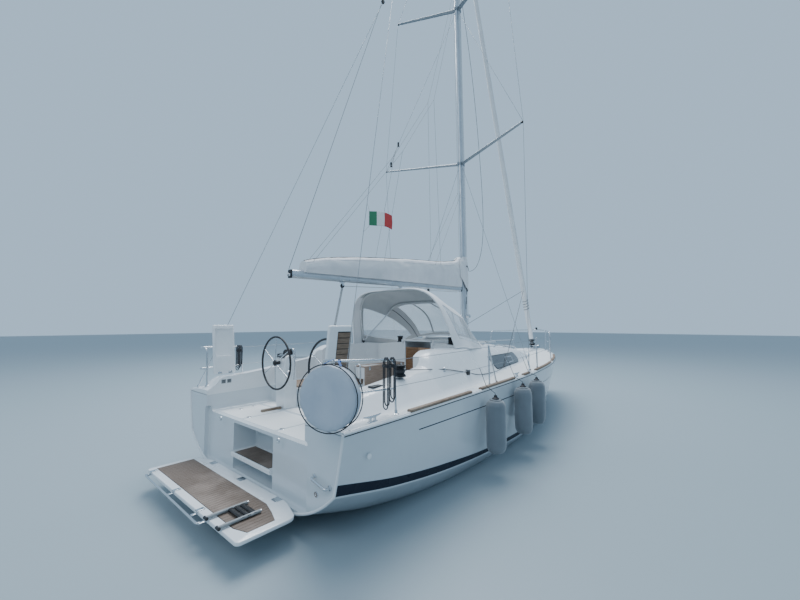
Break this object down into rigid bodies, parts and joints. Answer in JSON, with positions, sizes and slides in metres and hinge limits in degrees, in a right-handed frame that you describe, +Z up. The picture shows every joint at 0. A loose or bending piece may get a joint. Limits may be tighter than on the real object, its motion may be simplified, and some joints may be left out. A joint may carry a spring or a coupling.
{
  "type": "sailing yacht",
  "caption": "Cruising sloop afloat: decked hull with fin keel, open-transom twin-wheel cockpit, raked mast, bagged mainsail on its boom and furled headsail.",
  "frame": {"origin": "on the waterline, on the centreline, at half the hull's length", "axes": "+X points forward to the bow, +Y to port, +Z up the mast"},
  "size_m": [10.767, 4.044, 15.98],
  "materials": {
    "gelcoat": "glossy white gelcoat",
    "bottom_paint": "matte pale grey bottom paint",
    "keel_paint": "matte grey bottom paint over cast iron",
    "engine_block": "painted grey",
    "drive_metal": "painted grey",
    "propeller_bronze": "dull bronze",
    "anodised_spar": "satin anodised",
    "stainless": "polished",
    "teak": "weathered, oiled",
    "varnished_wood": "varnished",
    "canvas": "woven, matte off-white",
    "smoked_glazing": "glossy, dark and opaque",
    "black_grip": "matte black",
    "fender_vinyl": "ribbed knitted cover, grey",
    "flag_cloth": "plain three-colour cloth"
  },
  "bodies": {
    "yacht": {"hull": "gelcoat", "deck": "gelcoat", "keel": "keel_paint", "saildrive": "drive_metal", "engine": "engine_block", "companionway_steps": "varnished_wood", "pedestal_port": "gelcoat", "pedestal_starboard": "gelcoat", "cockpit_table": "gelcoat", "mast": "anodised_spar", "spreaders_lower": "anodised_spar", "spreaders_upper": "anodised_spar", "shrouds_port": "stainless", "shrouds_starboard": "stainless", "backstay": "stainless", "stem_fitting": "stainless", "pushpit_port": "stainless", "pushpit_starboard": "stainless", "pulpit": "stainless", "guard_rail_port": "stainless", "guard_rail_starboard": "stainless", "toe_rail_port": "teak", "toe_rail_starboard": "teak", "sprayhood": "canvas", "sprayhood_frame": "stainless", "bag_collar": "canvas", "window_port": "smoked_glazing", "window_starboard": "smoked_glazing", "fender_1": "fender_vinyl", "fender_2": "fender_vinyl", "fender_3": "fender_vinyl", "lifebuoy_cover": "canvas", "ensign": "flag_cloth"},
    "rudder": {"rudder": "bottom_paint"},
    "wheel_port": {"wheel_port": "black_grip"},
    "wheel_starboard": {"wheel_starboard": "black_grip"},
    "propeller": {"propeller": "propeller_bronze"},
    "swim_platform": {"swim_platform": "gelcoat"},
    "swim_ladder": {"swim_ladder": "stainless"},
    "helm_seat_port": {"helm_seat_port": "gelcoat"},
    "helm_seat_starboard": {"helm_seat_starboard": "gelcoat"},
    "seat_lid_port": {"seat_lid_port": "teak"},
    "seat_lid_starboard": {"seat_lid_starboard": "teak"},
    "table_leaf_port": {"table_leaf_port": "teak"},
    "table_leaf_starboard": {"table_leaf_starboard": "teak"},
    "companionway_hatch": {"companionway_hatch": "smoked_glazing"},
    "companionway_door_port": {"companionway_door_port": "varnished_wood"},
    "companionway_door_starboard": {"companionway_door_starboard": "varnished_wood"},
    "saloon_hatch": {"saloon_hatch": "smoked_glazing"},
    "fore_hatch": {"fore_hatch": "smoked_glazing"},
    "anchor_locker_lid": {"anchor_locker_lid": "gelcoat"},
    "boom": {"boom": "anodised_spar", "vang": "anodised_spar", "sail_bag": "canvas"},
    "furler": {"furled_headsail": "canvas", "furling_drum": "black_grip"},
    "winch_coaming_port": {"winch_coaming_port": "stainless"},
    "winch_coaming_starboard": {"winch_coaming_starboard": "stainless"},
    "winch_roof_port": {"winch_roof_port": "stainless"},
    "winch_roof_starboard": {"winch_roof_starboard": "stainless"}
  },
  "joints": [
    {"name": "rudder_turn", "type": "hinge", "parent": "yacht", "child": "rudder", "pos_m": [-4.12, 0, -0.215], "axis": [0, 0, 1], "range_deg": [-35, 35]},
    {"name": "wheel_port_turn", "type": "hinge", "parent": "yacht", "child": "wheel_port", "pos_m": [-4.24, 0.62, 1.57], "axis": [1, 0, 0], "range_deg": [-420, 420]},
    {"name": "wheel_starboard_turn", "type": "hinge", "parent": "yacht", "child": "wheel_starboard", "pos_m": [-4.24, -0.62, 1.57], "axis": [1, 0, 0], "range_deg": [-420, 420]},
    {"name": "propeller_turn", "type": "hinge", "parent": "yacht", "child": "propeller", "pos_m": [-1.745, 0, -0.83], "axis": [1, 0, 0], "continuous": true},
    {"name": "swim_platform_turn", "type": "hinge", "parent": "yacht", "child": "swim_platform", "pos_m": [-4.99, 0, 0.245], "axis": [0, 1, 0], "range_deg": [0, 90]},
    {"name": "swim_ladder_turn", "type": "hinge", "parent": "swim_platform", "child": "swim_ladder", "pos_m": [-5.712, 0, 0.29], "axis": [0, -1, 0], "range_deg": [0, 270]},
    {"name": "helm_seat_port_turn", "type": "hinge", "parent": "yacht", "child": "helm_seat_port", "pos_m": [-4.7, 1.31, 1.4], "axis": [1, 0, 0], "range_deg": [0, 97.5]},
    {"name": "helm_seat_starboard_turn", "type": "hinge", "parent": "yacht", "child": "helm_seat_starboard", "pos_m": [-4.7, -1.31, 1.4], "axis": [-1, 0, 0], "range_deg": [0, 97.5]},
    {"name": "seat_lid_port_turn", "type": "hinge", "parent": "yacht", "child": "seat_lid_port", "pos_m": [-3.46, 1.165, 1.156], "axis": [-1, 0, 0], "range_deg": [0, 80]},
    {"name": "seat_lid_starboard_turn", "type": "hinge", "parent": "yacht", "child": "seat_lid_starboard", "pos_m": [-3.46, -1.165, 1.156], "axis": [1, 0, 0], "range_deg": [0, 80]},
    {"name": "table_leaf_port_turn", "type": "hinge", "parent": "yacht", "child": "table_leaf_port", "pos_m": [-2.58, 0.133, 1.47], "axis": [1, 0, 0], "range_deg": [0, 90]},
    {"name": "table_leaf_starboard_turn", "type": "hinge", "parent": "yacht", "child": "table_leaf_starboard", "pos_m": [-2.58, -0.133, 1.47], "axis": [-1, 0, 0], "range_deg": [0, 90]},
    {"name": "companionway_hatch_slide", "type": "slide", "parent": "yacht", "child": "companionway_hatch", "axis": [1, 0, 0], "range_m": [0, 0.62]},
    {"name": "companionway_door_port_turn", "type": "hinge", "parent": "yacht", "child": "companionway_door_port", "pos_m": [-1.512, 0.314, 1.01], "axis": [0, 0, -1], "range_deg": [0, 100]},
    {"name": "companionway_door_starboard_turn", "type": "hinge", "parent": "yacht", "child": "companionway_door_starboard", "pos_m": [-1.512, -0.314, 1.01], "axis": [0, 0, 1], "range_deg": [0, 100]},
    {"name": "saloon_hatch_turn", "type": "hinge", "parent": "yacht", "child": "saloon_hatch", "pos_m": [1.42, 0, 1.7], "axis": [0, 1, 0], "range_deg": [0, 90]},
    {"name": "fore_hatch_turn", "type": "hinge", "parent": "yacht", "child": "fore_hatch", "pos_m": [2.48, 0, 1.53], "axis": [0, 1, 0], "range_deg": [0, 90]},
    {"name": "anchor_locker_lid_turn", "type": "hinge", "parent": "yacht", "child": "anchor_locker_lid", "pos_m": [3.517, 0, 1.376], "axis": [0, -1, 0], "range_deg": [0, 100]},
    {"name": "boom_turn", "type": "hinge", "parent": "yacht", "child": "boom", "pos_m": [0.173, 0, 2.99], "axis": [0, 0, 1], "range_deg": [-65, 65]},
    {"name": "furler_turn", "type": "hinge", "parent": "yacht", "child": "furler", "pos_m": [4.56, 0, 1.4], "axis": [-0.3473, 0, 0.9378], "continuous": true},
    {"name": "winch_coaming_port_turn", "type": "hinge", "parent": "yacht", "child": "winch_coaming_port", "pos_m": [-3.68, 1.395, 1.494], "axis": [0, 0, 1], "continuous": true},
    {"name": "winch_coaming_starboard_turn", "type": "hinge", "parent": "yacht", "child": "winch_coaming_starboard", "pos_m": [-3.68, -1.395, 1.494], "axis": [0, 0, 1], "continuous": true},
    {"name": "winch_roof_port_turn", "type": "hinge", "parent": "yacht", "child": "winch_roof_port", "pos_m": [-1.3, 0.64, 1.772], "axis": [0, 0, 1], "continuous": true},
    {"name": "winch_roof_starboard_turn", "type": "hinge", "parent": "yacht", "child": "winch_roof_starboard", "pos_m": [-1.3, -0.64, 1.772], "axis": [0, 0, 1], "continuous": true}
  ],
  "couplings": [
    {"joint": "wheel_port_turn", "follows": "rudder_turn", "ratio": 12},
    {"joint": "wheel_starboard_turn", "follows": "rudder_turn", "ratio": 12}
  ]
}
